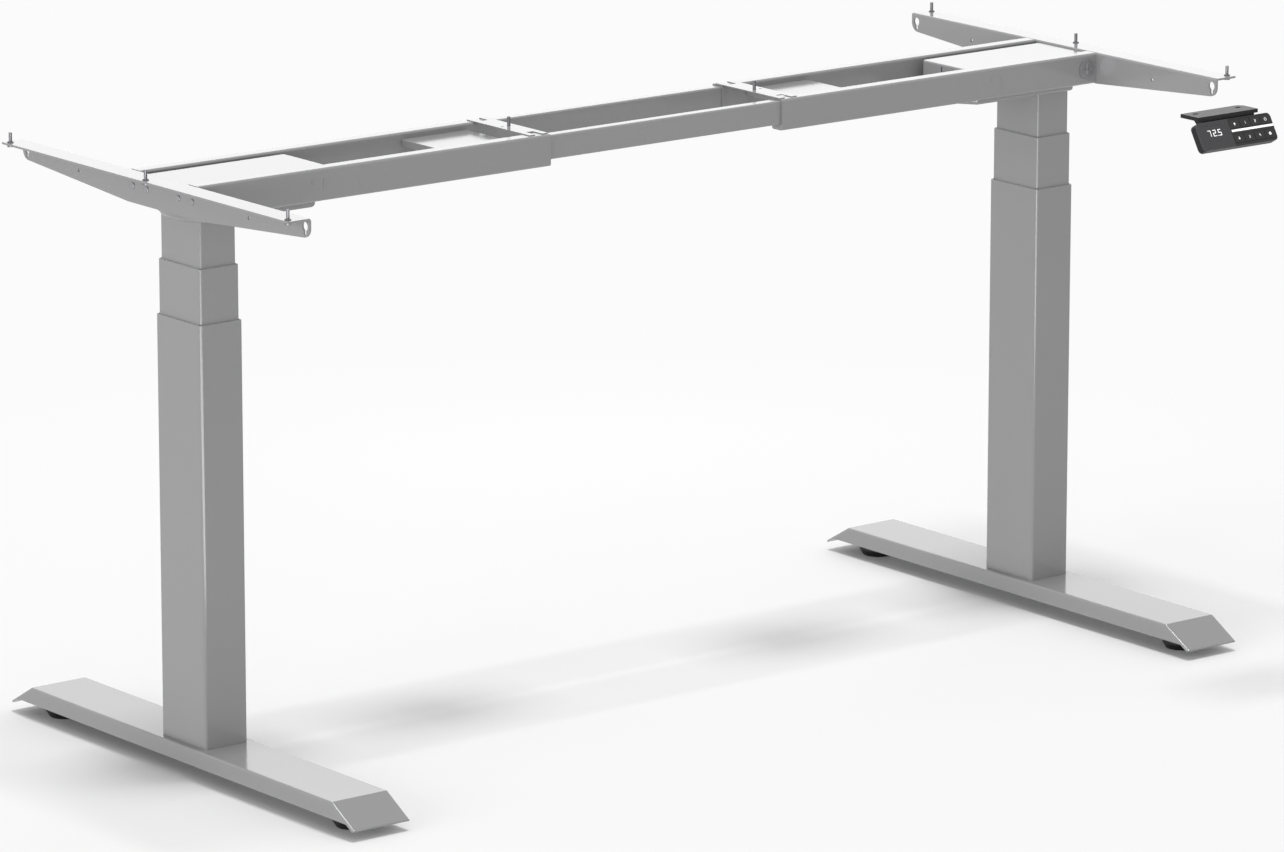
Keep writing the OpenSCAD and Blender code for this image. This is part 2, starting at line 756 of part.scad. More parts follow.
// Side bracket: a flange under the desktop and a web that tapers to its ends
module web_half() {
    end = bracket_len / 2;
    r = web_corner_r;
    difference() {
        union() {
            polygon([[0, 0], [end, 0], [end, -bracket_end_h + r],
                [web_end_y, -bracket_end_h], [web_flat_y, -bracket_web_h], [0, -bracket_web_h]]);
            translate([web_end_y, -bracket_end_h + r]) intersection() {
                circle(r);
                translate([0, -r]) square([r, r]);
            }
        }
        translate([keyhole_y, -keyhole_drop - keyhole_r]) circle(keyhole_r);
        translate([keyhole_y - keyhole_slot_w / 2, -keyhole_drop - keyhole_h + keyhole_slot_w / 2])
            square([keyhole_slot_w, keyhole_h - keyhole_r - keyhole_slot_w / 2]);
        translate([keyhole_y, -keyhole_drop - keyhole_h + keyhole_slot_w / 2])
            circle(keyhole_slot_w / 2);
        translate([web_hole_y, -web_hole_drop]) circle(web_hole_r);
        for (y = web_screw_y) translate([y, -web_hole_drop]) circle(web_screw_r + screw_clear);
    }
}

module side_bracket(side) {
    color(coat) on_side(side) translate([0, 0, frame_z]) {
        along_x(web_x, bracket_sheet) {
            web_half();
            mirror([1, 0]) web_half();
        }
        translate([0, 0, -bracket_sheet]) linear_extrude(bracket_sheet) difference() {
            translate([web_x, -bracket_len / 2]) square([bracket_flange, bracket_len]);
            for (y = [-1, 0, 1]) translate([desktop_screw_x, y * screw_spacing_y / 2])
                circle(flange_hole_r);
        }
    }
}

// Screws that hold a half of the frame together
module frame_screws(side) {
    color(steel) on_side(side) {
        front_and_back() for (y = web_screw_y)
            translate([web_x + bracket_sheet, y, web_hole_z]) rotate([0, 90, 0]) {
                cylinder(r = web_screw_head_r, h = web_screw_head_h);
                translate([0, 0, -web_screw_len]) cylinder(r = web_screw_r, h = web_screw_len);
            }
        front_and_back() translate([cap_x, rail_gap / 2 + rail_w, cap_z]) rotate([-90, 0, 0])
            cap_screw();
        translate([column_x, 0, 0]) at_corners(gear_screw_at) {
            seat = pan_bottom_z + pan_sheet + gear_flange_t;
            rod(gear_screw_r, inner_top_z - top_plate_t, seat);
            rod(gear_screw_head_r, seat, seat + gear_screw_head_h);
        }
        front_and_back() for (x = lock_screw_x)
            translate([rail_end_x + x, rail_gap / 2 + rail_w / 2, 0])
                rod(lock_screw_r, rail_bottom_z, inner_rail_top_z - inner_rail_h - slide_clear);
    }
}

// Wide cap screw with a cross recess, its head on the rail's outer wall
module cap_screw() {
    difference() {
        union() {
            cylinder(r = cap_r, h = cap_t);
            translate([0, 0, -cap_screw_len]) cylinder(r = cap_screw_r, h = cap_screw_len);
        }
        for (turn = [0, 90]) rotate(turn)
            translate([-cap_cross_len / 2, -cap_cross_w / 2, cap_t - cap_cross_depth])
                cube([cap_cross_len, cap_cross_w, cap_cross_depth + over]);
    }
}

// Screws that stand up into the desktop: three in the bracket, one in the bridge
module desktop_screws(side) {
    under = frame_z - bracket_sheet - grommet_rise;
    color(steel) on_side(side) {
        for (y = [-1, 0, 1]) translate([desktop_screw_x, y * screw_spacing_y / 2, 0]) {
            rod(desktop_screw_d / 2, -over, frame_z + desktop_screw_rise);
            rod(shoulder_r, under, 0);
            rod(desktop_head_r, under - desktop_head_h, under);
        }
        translate([rail_end_x + bridge_screw_inset, 0, 0]) {
            rod(desktop_screw_d / 2, frame_z - over, frame_z + desktop_screw_rise);
            rod(desktop_head_r, frame_z - desktop_head_h, frame_z);
        }
    }
}

module grommets(side) {
    color(black) on_side(side) for (y = [-1, 0, 1])
        translate([desktop_screw_x, y * screw_spacing_y / 2, frame_z - bracket_sheet / 2])
            difference() {
                union() {
                    cylinder(r = grommet_r, h = bracket_sheet + 2 * grommet_rise, center = true);
                    for (face = [-1, 1])
                        translate([0, 0, face * (bracket_sheet + grommet_rise) / 2])
                            cylinder(r = grommet_collar_r, h = grommet_rise, center = true);
                }
                cylinder(r = grommet_bore_r, h = bracket_sheet + 4 * grommet_rise, center = true);
            }
}

// Places a drawing on the handset's face: origin at its top left corner
module on_face() {
    translate([handset_x, handset_y, handset_top_z])
        rotate([90 - handset_tilt, 0, 0]) children();
}

module face_outline(inset) {
    translate([handset_w / 2, -handset_h / 2])
        rounded([handset_w - 2 * inset, handset_h - 2 * inset], handset_corner_r - inset);
}

// Places of the eight keys, in two rows of four
module at_key(index) {
    row = floor(index / 4);
    translate([key_first_x + key_pitch * (index % 4), key_row_y[row], 0]) children();
}

module key_block(grow, bottom, top) {
    translate([-key_w / 2 - grow, -key_h / 2 - grow, bottom])
        cube([key_w + 2 * grow, key_h + 2 * grow, top - bottom]);
}

module handset_face() {
    color(black) on_face() difference() {
        translate([0, 0, -face_t]) linear_extrude(face_t) face_outline(0);
        for (index = [0:len(KEYS) - 1]) at_key(index) key_block(key_clear, -face_t - over, over);
        translate([window_at[0], window_at[1], -window_t])
            cube([window_size[0], window_size[1], window_t + over]);
    }
}

module handset_shell() {
    color(black) on_face() difference() {
        translate([0, 0, -handset_t]) linear_extrude(handset_t - face_t) face_outline(0);
        translate([0, 0, shell_wall - handset_t]) linear_extrude(handset_t) face_outline(shell_wall);
    }
}

module display_window() {
    color([0.02, 0.02, 0.03]) on_face() translate([window_at[0], window_at[1], -window_t])
        cube([window_size[0], window_size[1], window_pocket_t]);
}

// Key of the handset, pressed into the face by its own slide
module key(index) {
    color(black) on_face() at_key(index) key_block(0, -key_depth, key_proud);
}

// Bracket that screws under the desktop, with a wedge down to the shell's top
module handset_bracket() {
    start = handset_x + plate_inset_x;
    back = plate_front_y + plate_depth;
    hole_x = [start + plate_hole_inset, start + plate_len - plate_hole_inset];
    reach = (plate_hole_len - 2 * plate_hole_r) / 2;
    shell_back = handset_t * cos(handset_tilt);
    shell_fall = handset_t * sin(handset_tilt);
    front_fall = plate_setback * tan(handset_tilt);
    color(black) {
        translate([0, 0, -plate_t]) linear_extrude(plate_t) difference() {
            polygon([[start, plate_front_y], [start + plate_len, plate_front_y],
                [start + plate_len, back - plate_chamfer], [start + plate_len - plate_chamfer, back],
                [start, back]]);
            for (x = hole_x) translate([x, plate_hole_y]) {
                square([2 * reach, 2 * plate_hole_r], center = true);
                for (end = [-1, 1]) translate([end * reach, 0]) circle(plate_hole_r);
            }
        }
        along_x(start + gusset_inset, plate_len - 2 * gusset_inset) polygon([
            [plate_front_y, -plate_t], [plate_front_y + gusset_back, -plate_t],
            [handset_y + shell_back, handset_top_z - shell_fall + seat_gap],
            [plate_front_y, handset_top_z - front_fall + seat_gap]]);
    }
}

for (side = SIDES) {
    foot(side);
    outer_tube(side);
    outer_glides(side);
    foot_screws(side);
    threaded_post(side);
    pad(side, -1);
    pad(side, 1);
    middle_tube(side);
    middle_glides(side);
    hollow_screw(side);
    inner_tube(side);
    drive_tube(side);
    gearbox(side);
    motor(side);
    head_pan(side);
    head_cover(side);
    outer_rails(side);
    bridge_plate(side);
    shelf_plate(side);
    side_bracket(side);
    frame_screws(side);
    desktop_screws(side);
    grommets(side);
}
inner_rails();
handset_bracket();
handset_shell();
handset_face();
display_window();
for (index = [0:len(KEYS) - 1])
    key(index);
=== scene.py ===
"""Silver-grey standing desk frame: the looks of its steel, plastic and handset.

Everything is in metres in the frame's own axes: +X along the beam, +Z up, the person
at the desk on the -Y side. z = 0 is the underside of the desktop that the frame carries.
"""
import json
from math import pi, radians, sin

import bmesh
import bpy
import numpy as np
from mathutils import Matrix, Vector


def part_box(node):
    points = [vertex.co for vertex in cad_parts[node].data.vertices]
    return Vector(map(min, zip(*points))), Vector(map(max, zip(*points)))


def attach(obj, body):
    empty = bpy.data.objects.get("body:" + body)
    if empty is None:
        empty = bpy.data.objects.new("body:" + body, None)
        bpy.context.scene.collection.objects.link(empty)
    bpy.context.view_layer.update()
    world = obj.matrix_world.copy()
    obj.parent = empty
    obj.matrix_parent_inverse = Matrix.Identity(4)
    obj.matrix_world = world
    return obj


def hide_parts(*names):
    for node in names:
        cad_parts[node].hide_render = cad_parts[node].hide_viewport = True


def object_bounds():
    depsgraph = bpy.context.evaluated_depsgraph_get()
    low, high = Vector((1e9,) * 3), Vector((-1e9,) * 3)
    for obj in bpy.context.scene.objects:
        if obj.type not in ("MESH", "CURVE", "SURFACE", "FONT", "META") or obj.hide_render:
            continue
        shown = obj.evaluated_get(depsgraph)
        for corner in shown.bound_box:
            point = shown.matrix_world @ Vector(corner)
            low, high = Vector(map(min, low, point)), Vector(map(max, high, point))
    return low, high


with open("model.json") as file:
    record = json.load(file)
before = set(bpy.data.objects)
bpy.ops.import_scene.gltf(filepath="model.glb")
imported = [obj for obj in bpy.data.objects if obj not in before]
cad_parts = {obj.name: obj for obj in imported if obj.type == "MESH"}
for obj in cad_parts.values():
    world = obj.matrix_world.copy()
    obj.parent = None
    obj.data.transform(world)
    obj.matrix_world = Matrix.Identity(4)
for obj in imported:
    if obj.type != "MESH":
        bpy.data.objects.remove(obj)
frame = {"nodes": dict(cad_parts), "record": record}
cad_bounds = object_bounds()
MM = 0.001
SIDES = ("left", "right")
SUBPARTS = {s["node"]: s["material_slot"] for s in frame["record"]["subparts"]}
BODY_OF = {node: body for body, nodes in frame["record"]["behaviour"]["bodies"].items()
           for node in nodes}


# Camera: the photograph's view, a long lens a little above the beam

PHOTO_WIDTH = 1284
FOCAL_PX = 7332.8
SENSOR_MM = 36.0
CAMERA_AT = Vector((-5.3247, -6.8264, 1.6719))
CAMERA_AZIMUTH = -38.027
CAMERA_ELEVATION = 13.418
CAMERA_ROLL = 0.031
CAMERA_REACH = 100


def make_camera():
    data = bpy.data.cameras.new("photo_camera")
    data.sensor_width = SENSOR_MM
    data.sensor_fit = "HORIZONTAL"
    data.lens = SENSOR_MM * FOCAL_PX / PHOTO_WIDTH
    data.clip_end = CAMERA_REACH
    camera = bpy.data.objects.new("photo_camera", data)
    bpy.context.scene.collection.objects.link(camera)
    camera.matrix_world = (
        Matrix.Translation(CAMERA_AT)
        @ Matrix.Rotation(radians(CAMERA_AZIMUTH), 4, "Z")
        @ Matrix.Rotation(radians(90 - CAMERA_ELEVATION), 4, "X")
        @ Matrix.Rotation(radians(CAMERA_ROLL), 4, "Z")
    )
    bpy.context.scene.camera = camera


# Materials

def linear(hex_colour):
    """sRGB hex to linear RGBA: ((c + 0.055) / 1.055) ^ 2.4 above 0.04045."""
    c = np.array([int(hex_colour[i:i + 2], 16) / 255 for i in (1, 3, 5)])
    c = np.where(c <= 0.04045, c / 12.92, ((c + 0.055) / 1.055) ** 2.4)
    return (*c.tolist(), 1.0)


def add(material, kind, links=(), **settings):
    """One shader node with its settings; links are (its socket, source node, source socket)."""
    node = material.node_tree.nodes.new(kind)
    for name, value in settings.items():
        socket = name.replace("_", " ")
        if socket in node.inputs:
            node.inputs[socket].default_value = value
        else:
            setattr(node, name, value)
    for socket, source, output in links:
        material.node_tree.links.new(source.outputs[output], node.inputs[socket])
    return node


def new_material(name):
    material = bpy.data.materials.new(name)
    material.use_nodes = True
    material.node_tree.nodes.clear()
    return material


def finish_surface(material, shader):
    add(material, "ShaderNodeOutputMaterial", [("Surface", shader, "BSDF")])
    return material


# How far the roughness strays either side of its value, over a finish's own grain
COAT_GLOSS_SPREAD = 0.03
METAL_GLOSS_SPREAD = 0.08
PLASTIC_GLOSS_SPREAD = 0.05
# Height of the grain in the relief
PEEL_DEPTH = 0.02 * MM
SPARK_DEPTH = 0.05 * MM
TONE_PATCHES_PER_METRE = 3.0
PLASTIC_IOR = 1.46
INK_ROUGHNESS = 0.4


def coated_steel(name, colour, grain_mm, roughness, bump=0.1, tone=0.02):
    """Paint over steel: a fine orange peel in the gloss and a faint change of tone over it."""
    m = new_material(name)
    place = add(m, "ShaderNodeTexCoord")
    peel = add(m, "ShaderNodeTexNoise", [("Vector", place, "Object")],
               Scale=1 / (grain_mm * MM), Detail=2.0)
    drift = add(m, "ShaderNodeTexNoise", [("Vector", place, "Object")],
                Scale=TONE_PATCHES_PER_METRE, Detail=1.0)
    low = [v * (1 - tone) for v in linear(colour)[:3]] + [1]
    high = [min(1, v * (1 + tone)) for v in linear(colour)[:3]] + [1]
    ramp = add(m, "ShaderNodeMix", [("Factor", drift, "Fac")], data_type="RGBA")
    ramp.inputs[6].default_value = low
    ramp.inputs[7].default_value = high
    rough = add(m, "ShaderNodeMapRange", [("Value", peel, "Fac")],
                To_Min=roughness - COAT_GLOSS_SPREAD, To_Max=roughness + COAT_GLOSS_SPREAD)
    relief = add(m, "ShaderNodeBump", [("Height", peel, "Fac")],
                 Strength=bump, Distance=PEEL_DEPTH)
    shader = add(m, "ShaderNodeBsdfPrincipled",
                 [("Roughness", rough, "Result"), ("Normal", relief, "Normal")])
    m.node_tree.links.new(ramp.outputs[2], shader.inputs["Base Color"])
    return finish_surface(m, shader)


def plain_metal(name, colour, roughness, grain_mm=0.4):
    """Bare or plated metal: fine scratches vary the gloss."""
    m = new_material(name)
    place = add(m, "ShaderNodeTexCoord")
    grain = add(m, "ShaderNodeTexNoise", [("Vector", place, "Object")],
                Scale=1 / (grain_mm * MM), Detail=3.0)
    rough = add(m, "ShaderNodeMapRange", [("Value", grain, "Fac")],
                To_Min=roughness - METAL_GLOSS_SPREAD, To_Max=roughness + METAL_GLOSS_SPREAD)
    shader = add(m, "ShaderNodeBsdfPrincipled", [("Roughness", rough, "Result")],
                 Base_Color=linear(colour), Metallic=1.0)
    return finish_surface(m, shader)


def moulded_plastic(name, colour, roughness, grain_mm, bump, gloss=0.5, panel=None):
    """Moulded plastic: spark-eroded grain in the gloss and the relief.

    panel is (colour, x): a panel of another colour printed on the part to the right of x.
    """
    m = new_material(name)
    place = add(m, "ShaderNodeTexCoord")
    grain = add(m, "ShaderNodeTexNoise", [("Vector", place, "Object")],
                Scale=1 / (grain_mm * MM), Detail=3.0)
    rough = add(m, "ShaderNodeMapRange", [("Value", grain, "Fac")],
                To_Min=roughness - PLASTIC_GLOSS_SPREAD, To_Max=roughness + PLASTIC_GLOSS_SPREAD)
    relief = add(m, "ShaderNodeBump", [("Height", grain, "Fac")],
                 Strength=bump, Distance=SPARK_DEPTH)
    shader = add(m, "ShaderNodeBsdfPrincipled",
                 [("Roughness", rough, "Result"), ("Normal", relief, "Normal")],
                 Base_Color=linear(colour), IOR=PLASTIC_IOR, Specular_IOR_Level=gloss)
    if panel:
        across = add(m, "ShaderNodeSeparateXYZ", [("Vector", place, "Object")])
        right = add(m, "ShaderNodeMath", [(0, across, "X")], operation="GREATER_THAN")
        right.inputs[1].default_value = panel[1]
        mix = add(m, "ShaderNodeMix", [("Factor", right, "Value")], data_type="RGBA")
        mix.inputs[6].default_value = linear(colour)
        mix.inputs[7].default_value = linear(panel[0])
        m.node_tree.links.new(mix.outputs[2], shader.inputs["Base Color"])
    return finish_surface(m, shader)


def lit_print(name, colour, strength):
    """Lit digits and printed signs: their own light over white ink; in the digits it is real light,
    in the printed signs a painted glow.
    """
    m = new_material(name)
    shader = add(m, "ShaderNodeBsdfPrincipled", Base_Color=linear(colour),
                 Roughness=INK_ROUGHNESS, Emission_Color=linear(colour),
                 Emission_Strength=strength)
    return finish_surface(m, shader)


# The key panel starts this far to the right of the handset's left edge
KEY_PANEL_MM = 51
KEY_PANEL_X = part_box("handset_face")[0][0] + KEY_PANEL_MM * MM

MATERIALS = {
    # Smooth silver-grey powder coat: mirrors the white room at a glancing look
    "coat": coated_steel("silver_powder_coat", "#8D8D8E", 1.2, 0.15),
    # Zinc plate: bright, its gloss broken by fine scratches
    "zinc": plain_metal("zinc_plate", "#9C9C9F", 0.42),
    # The desktop's screws: a darker copy of the zinc, the same gloss at half the brightness
    "darker_zinc": plain_metal("darker_zinc_plate", "#77777A", 0.42),
    # Ground steel under a film of oil, inside the columns
    "steel": plain_metal("ground_steel", "#9C9DA0", 0.3),
    # Die-cast aluminium: dull, with the coarse skin of its mould
    "casting": coated_steel("die_cast_aluminium", "#8F9092", 2.0, 0.55, 0.4),
    # Stoved black enamel of the motor's can
    "motor": coated_steel("black_enamel", "#1A1A1C", 1.5, 0.35),
    # Plain white acetal: waxy and even
    "glide": moulded_plastic("acetal_glide", "#D8D8D2", 0.4, 0.5, 0.1),
    # Black nylon with a spark-eroded skin: a soft sheen on its rim
    "pad": moulded_plastic("moulded_nylon_pad", "#101012", 0.42, 0.6, 0.3),
    # Grey soft rubber: matt
    "grommet": moulded_plastic("soft_grommet", "#6A6A6C", 0.7, 0.5, 0.2),
    # Black ABS of the handset: a weak satin sheen on the plate's top
    "handset": moulded_plastic("handset_abs", "#232325", 0.4, 0.5, 0.15, 0.2),
    # The face's grey ABS, with the darker printed key panel at its right
    "face": moulded_plastic("face_abs", "#3A3A3C", 0.4, 0.5, 0.1, 0.4, ("#242426", KEY_PANEL_X)),
    # Smoked acrylic over the digits: one colour with the face while its rest is unlit
    "window": moulded_plastic("smoked_window", "#3A3A3C", 0.35, 0.8, 0.02, 0.4),
    # Soft-touch black of the keys
    "key": moulded_plastic("soft_touch_key", "#1C1C1E", 0.5, 0.5, 0.2),
}
# The white key signs and face line are printed ink that glows at strength 0.6: a painted glow, not
# a lamp
GLOWING_WHITE_PRINT = lit_print("glowing_white_print", "#E4E4E4", 0.6)
LIT_DIGITS = lit_print("lit_digits", "#F0F0F0", 0.7)


def material_of(node):
    """The material of a node's record slot; the desktop's screws are darker than the others."""
    return MATERIALS["darker_zinc" if node.endswith("desktop_screws") else SUBPARTS[node]]


def dress_frame():
    for name, node in frame["nodes"].items():
        node.data.materials.clear()
        node.data.materials.append(material_of(name))


# Rounded copies of the CAD nodes, with the bends and broken edges of real sheet and tube

TOUCH = 0.01 * MM
WELD = 0.002 * MM
FLAT_ANGLE = 0.5
SHARP_ANGLE = 25
HOLE_EDGE_MAX = 5 * MM
BEND_SEGMENTS = 5
EDGE_SEGMENTS = 2


def merged_mesh(node):
    """A copy of a node's triangles, coplanar ones joined to whole faces, and its sharp edges."""
    mesh = frame["nodes"][node].data.copy()
    mesh.name = node + "_rounded"
    shape = bmesh.new()
    shape.from_mesh(mesh)
    bmesh.ops.remove_doubles(shape, verts=shape.verts, dist=WELD)
    bmesh.ops.dissolve_limit(shape, angle_limit=radians(FLAT_ANGLE),
                             use_dissolve_boundaries=False,
                             verts=shape.verts, edges=shape.edges)
    for face in shape.faces:
        face.smooth = True
    sharp = np.array([len(edge.link_faces) == 2
                      and edge.calc_face_angle() > radians(SHARP_ANGLE) for edge in shape.edges])
    shape.to_mesh(mesh)
    shape.free()
    return mesh, sharp


def mark_bends(mesh, sharp, on_bend, place):
    """Bevel weight 1 on the sharp edges that on_bend(ends, low, high) picks, in place's axes."""
    points = np.empty(len(mesh.vertices) * 3)
    mesh.vertices.foreach_get("co", points)
    turn = np.array(place.inverted())
    points = points.reshape(-1, 3) @ turn[:3, :3].T + turn[:3, 3]
    ends = np.empty(len(mesh.edges) * 2, dtype=int)
    mesh.edges.foreach_get("vertices", ends)
    weights = on_bend(points[ends.reshape(-1, 2)], points.min(axis=0), points.max(axis=0))
    layer = mesh.attributes.new("bevel_weight_edge", "FLOAT", "EDGE")
    layer.data.foreach_set("value", (weights & sharp).astype(float))


def bevelled(piece, name, width, segments, by_weight):
    bevel = piece.modifiers.new(name, "BEVEL")
    bevel.width = width
    bevel.segments = segments
    bevel.limit_method = "WEIGHT" if by_weight else "ANGLE"
    bevel.angle_limit = radians(SHARP_ANGLE)
    bevel.miter_outer = "MITER_ARC"
    bevel.use_clamp_overlap = not by_weight


def rounded(node, fine_mm, bend_mm=0, on_bend=None, place=Matrix.Identity(4)):
    """Replaces a node by its rounded copy: bends of bend_mm, every other edge broken by fine_mm."""
    mesh, sharp = merged_mesh(node)
    piece = bpy.data.objects.new(mesh.name, mesh)
    bpy.context.scene.collection.objects.link(piece)
    if on_bend:
        mark_bends(mesh, sharp, on_bend, place)
        bevelled(piece, "bends", bend_mm * MM, BEND_SEGMENTS, True)
    bevelled(piece, "edges", fine_mm * MM, EDGE_SEGMENTS, False)
    normals = piece.modifiers.new("normals", "WEIGHTED_NORMAL")
    normals.keep_sharp = True
    mesh.materials.clear()
    mesh.materials.append(material_of(node))
    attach(piece, BODY_OF[node])
    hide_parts(node)


def at(values, level):
    return np.abs(values - level) < TOUCH


def foot_bends(ends, low, high):
    """Long edges of the folded top: both ends on a side face and on the upper outline."""
    side = at(ends[..., 0], low[0]).all(axis=1) | at(ends[..., 0], high[0]).all(axis=1)
    upper = at(ends[..., 2], high[2]) | at(ends[..., 1], low[1]) | at(ends[..., 1], high[1])
    return side & upper.all(axis=1)


def top_bends(ends, low, high):
    return at(ends[..., 2], high[2]).all(axis=1)


def tray_bends(ends, low, high):
    """Outline of the tray's bottom, not the short edges of its round holes."""
    long_edge = np.linalg.norm(ends[:, 1] - ends[:, 0], axis=1) > HOLE_EDGE_MAX
    return at(ends[..., 2], low[2]).all(axis=1) & long_edge


def fold_bends(ends, low, high):
    """The bracket's fold: along its top, on the side of the column."""
    inner = min((abs(low[0]), low[0]), (abs(high[0]), high[0]))[1]
    return at(ends[..., 2], high[2]).all(axis=1) & at(ends[..., 0], inner).all(axis=1)


def back_bends(ends, low, high):
    """Back outline of the handset's shell, in the face's axes."""
    return at(ends[..., 2], low[2]).all(axis=1)


def round_frame():
    for side in SIDES:
        rounded(f"{side}_foot", 0.4, 2.5, foot_bends)
        rounded(f"{side}_head_cover", 0.3, 2.0, top_bends)
        rounded(f"{side}_head_pan", 0.3, 4.5, tray_bends)
        rounded(f"{side}_side_bracket", 0.4, 2.5, fold_bends)
        for part, fine_mm in (("outer_tube", 1.2), ("middle_tube", 1.0), ("inner_tube", 1.0),
                              ("outer_rails", 0.3), ("shelf_plate", 0.4), ("bridge_plate", 0.25),
                              ("frame_screws", 0.4), ("desktop_screws", 0.3), ("grommets", 0.3),
                              ("front_pad", 0.5), ("rear_pad", 0.5)):
            rounded(f"{side}_{part}", fine_mm)
    rounded("inner_rails", 0.3)


# Handset: its face's axes are x to the right, y up and z out, from the face's top left corner

FACE_TILT = 30.6
FACE_HEIGHT = 35.6
WINDOW_LEVEL = -0.2
KEY_LEVEL = 0.4
INK_MM = 0.05
FACE_LOW, FACE_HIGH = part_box("handset_face")
FACE_AT = Vector((FACE_LOW[0], FACE_LOW[1] + FACE_HEIGHT * MM * sin(radians(FACE_TILT)),
                  FACE_HIGH[2]))
FACE = Matrix.Translation(FACE_AT) @ Matrix.Rotation(radians(90 - FACE_TILT), 4, "X")
KEY_SIGNS = {"up": "arrow_up", "memory_1": "1", "memory_2": "2", "menu": "ring",
             "down": "arrow_down", "memory_3": "3", "memory_4": "4", "lock": "dot"}
KEY_FIRST = (59.9, -7.8)
KEY_STEP = (16.6, -18.4)
KEYS_A_ROW = 4
SIGN_HEIGHT = 3.6
SIGN_WIDTH = 1.9
SIGN_STROKE = 0.4
RING_RADII = (1.9, 1.4)
DOT_RADII = (1.9, 0.7)
# The height shown: each digit with its left edge, on one base line
READING = (("7", 14.6), ("2", 22.6), ("5", 31.0))
READING_BASE = -19
DIGIT_WIDTH = 4.7
DIGIT_HEIGHT = 8
DIGIT_STROKE = 0.8
POINT_AT = 28.6
POINT_SIZE = 1
WHITE_LINE = (52.2, -17.35, 119.3, -14.65)


def printed(name, vertices, faces, at_mm, node, material):
    """A thin print on the handset's face: vertices in mm round at_mm, riding on a node's body."""
    mesh = bpy.data.meshes.new(name)
    points = (np.asarray(vertices, dtype=float) + np.asarray(at_mm)) * MM
    turn = np.array(FACE)
    mesh.from_pydata((points @ turn[:3, :3].T + turn[:3, 3]).tolist(), [], faces)
    mesh.materials.append(material)
    piece = bpy.data.objects.new(name, mesh)
    bpy.context.scene.collection.objects.link(piece)
    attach(piece, BODY_OF[node])


def prisms(outlines):
    """Vertices and faces of flat prisms INK_MM thick, one on each closed outline of (x, y)."""
    vertices, faces = [], []
    for outline in outlines:
        n, start = len(outline), len(vertices)
        vertices += [(x, y, 0) for x, y in outline] + [(x, y, INK_MM) for x, y in outline]
        faces.append([start + n + i for i in range(n)])
        faces.append([start + i for i in reversed(range(n))])
        faces += [(start + i, start + (i + 1) % n, start + n + (i + 1) % n, start + n + i)
                  for i in range(n)]
    return vertices, faces


def ring_print(outer, inner, count=32):
    """A flat ring: outer and inner circles, top and bottom, point i at angle 2 pi i / count."""
    angle = 2 * pi * np.arange(count) / count
    circle = np.stack([np.cos(angle), np.sin(angle)], axis=1)
    rings = [(outer, 0), (outer, INK_MM), (inner, INK_MM), (inner, 0)]
    vertices = np.concatenate([np.column_stack([circle * r, np.full(count, z)]) for r, z in rings])
    turn = [(i, (i + 1) % count) for i in range(count)]
    faces = [(a * count + i, a * count + j, b * count + j, b * count + i)
             for a, b in ((0, 1), (1, 2), (2, 3), (3, 0)) for i, j in turn]
    return vertices, faces


def bar(x0, y0, x1, y1):
    return [(x0, y0), (x1, y0), (x1, y1), (x0, y1)]


# Seven-segment digits: which of the bars top, upper left, upper right, middle, lower left,
# lower right, bottom are lit
SEGMENTS = {"7": "1010010", "2": "1011101", "5": "1101011", "1": "0010010", "3": "1011011",
            "4": "0111010"}
# Gap at each end of a bar, as a share of its thickness
SEGMENT_GAP = 0.15


def digit_outlines(digit, width, height, thick, x, y):
    """Lit bars of a seven-segment digit, its lower left corner at x, y."""
    half = height / 2
    gap = thick * SEGMENT_GAP
    bars = [bar(gap, height - thick, width - gap, height),
            bar(0, half + gap, thick, height - gap),
            bar(width - thick, half + gap, width, height - gap),
            bar(gap, half - thick / 2, width - gap, half + thick / 2),
            bar(0, gap, thick, half - gap),
            bar(width - thick, gap, width, half - gap),
            bar(gap, 0, width - gap, thick)]
    return [[(x + u, y + v) for u, v in outline]
            for outline, lit in zip(bars, SEGMENTS[digit]) if lit == "1"]


def arrow_outline(way):
    """A block arrow 3.6 mm high that points up (way 1) or down (way -1)."""
    right = [(0, 1.8), (1.7, 0.1), (0.6, 0.1), (0.6, -1.8)]
    points = right + [(-x, y) for x, y in reversed(right[1:])]
    return [(x * way, y * way) for x, y in points]


def key_print(sign):
    if sign in ("arrow_up", "arrow_down"):
        return prisms([arrow_outline(1 if sign == "arrow_up" else -1)])
    if sign == "ring":
        return ring_print(*RING_RADII)
    if sign == "dot":
        return ring_print(*DOT_RADII)
    return prisms(digit_outlines(sign, SIGN_WIDTH, SIGN_HEIGHT, SIGN_STROKE,
                                 -SIGN_WIDTH / 2, -SIGN_HEIGHT / 2))


def dress_handset():
    for node, fine_mm in (("handset_face", 0.4), ("handset_bracket", 0.5),
                          ("display_window", 0.1)):
        rounded(node, fine_mm)
    rounded("handset_shell", 0.4, 2.5, back_bends, FACE)
    for index, (key, sign) in enumerate(KEY_SIGNS.items()):
        rounded(f"key_{key}", 0.35)
        row, column = divmod(index, KEYS_A_ROW)
        place = (KEY_FIRST[0] + KEY_STEP[0] * column, KEY_FIRST[1] + KEY_STEP[1] * row, KEY_LEVEL)
        printed(f"sign_{key}", *key_print(sign), place, f"key_{key}", GLOWING_WHITE_PRINT)
    outlines = [outline for digit, x in READING
                for outline in digit_outlines(digit, DIGIT_WIDTH, DIGIT_HEIGHT, DIGIT_STROKE,
                                              x, READING_BASE)]
    outlines.append(bar(POINT_AT, READING_BASE, POINT_AT + POINT_SIZE, READING_BASE + POINT_SIZE))
    printed("height_reading", *prisms(outlines), (0, 0, WINDOW_LEVEL), "display_window",
            LIT_DIGITS)
    printed("white_line", *prisms([bar(*WHITE_LINE)]), (0, 0, 0), "handset_face", GLOWING_WHITE_PRINT)


# Floor, world and lamps

BACKGROUND = "#FBFBFB"
FLOOR_COLOUR = "#ECECEC"
FLOOR_HALF = 30.0
